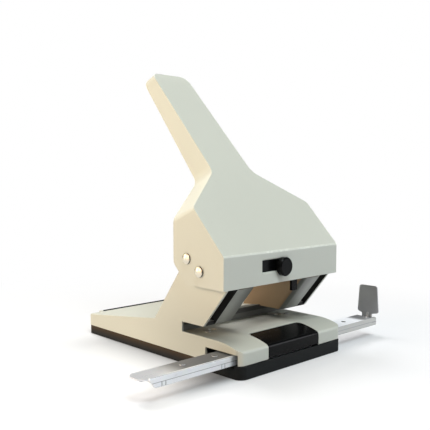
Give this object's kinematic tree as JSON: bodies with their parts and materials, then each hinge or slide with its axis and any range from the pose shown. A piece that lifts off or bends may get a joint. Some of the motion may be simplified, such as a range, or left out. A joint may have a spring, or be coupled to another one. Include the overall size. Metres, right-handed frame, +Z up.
{
  "type": "hole punch",
  "caption": "Heavy duty desk hole punch: pressed steel frame and hood with a long lever, sprung punches, sliding stop rail, lock knob, rail clamp and hinged chip tray.",
  "frame": {"origin": "centre of the base's rest face, on the floor", "axes": "+X to the user's right, +Y to the back, +Z up"},
  "size_m": [0.272, 0.2044, 0.2423],
  "materials": {
    "body_paint": "satin light grey enamel",
    "plated_steel": "bright zinc plate",
    "tool_steel": "ground steel",
    "bush_brass": "turned",
    "gloss_black": "gloss",
    "matte_black": "fine matte"
  },
  "bodies": {
    "frame": {"frame": "body_paint", "rear_deck": "body_paint", "die_plate": "tool_steel", "die_rivets": "tool_steel", "punch_guide_left": "body_paint", "punch_guide_right": "body_paint", "guide_bush_left": "bush_brass", "guide_bush_right": "bush_brass", "return_spring_left": "tool_steel", "return_spring_right": "tool_steel", "pivot_pin": "plated_steel", "pivot_bushes": "bush_brass", "rail_bracket": "tool_steel", "clamp_pin": "tool_steel", "tray_pin": "tool_steel"},
    "handle": {"handle": "body_paint", "drive_pin": "plated_steel", "drive_rollers": "tool_steel", "lock_straps": "tool_steel"},
    "lock": {"lock_slider": "gloss_black", "lock_knob": "gloss_black"},
    "punch_left": {"punch_pin_left": "tool_steel"},
    "punch_right": {"punch_pin_right": "tool_steel"},
    "rail": {"guide_rail": "plated_steel", "stop_strip": "plated_steel", "rail_rivets": "plated_steel"},
    "clamp": {"rail_clamp": "gloss_black"},
    "tray": {"chip_tray": "matte_black"}
  },
  "joints": [
    {"name": "handle_hinge", "type": "hinge", "parent": "frame", "child": "handle", "pos_m": [0, -0.0636, 0.0767], "axis": [-1, 0, 0], "range_deg": [0, 46], "stiffness_Nm_per_rad": 0.8, "springref_deg": -57.3},
    {"name": "punch_left_slide", "type": "slide", "parent": "frame", "child": "punch_left", "axis": [0, 0, -1], "range_m": [0, 0.01302], "deforming": ["return_spring_left"]},
    {"name": "punch_right_slide", "type": "slide", "parent": "frame", "child": "punch_right", "axis": [0, 0, -1], "range_m": [0, 0.01302], "deforming": ["return_spring_right"]},
    {"name": "lock_slide", "type": "slide", "parent": "handle", "child": "lock", "axis": [-1, 0, 0], "range_m": [0, 0.017]},
    {"name": "rail_slide", "type": "slide", "parent": "frame", "child": "rail", "axis": [1, 0, 0], "range_m": [-0.046, 0.045]},
    {"name": "clamp_hinge", "type": "hinge", "parent": "frame", "child": "clamp", "pos_m": [0, -0.0787, 0.0239], "axis": [-1, 0, 0], "range_deg": [0, 28]},
    {"name": "tray_hinge", "type": "hinge", "parent": "frame", "child": "tray", "pos_m": [0, 0.1019, 0.0166], "axis": [1, 0, 0], "range_deg": [0, 35]}
  ],
  "couplings": [
    {"joint": "punch_left_slide", "follows": "handle_hinge", "m_per_rad": 0.016193},
    {"joint": "punch_right_slide", "follows": "handle_hinge", "m_per_rad": 0.016193}
  ]
}
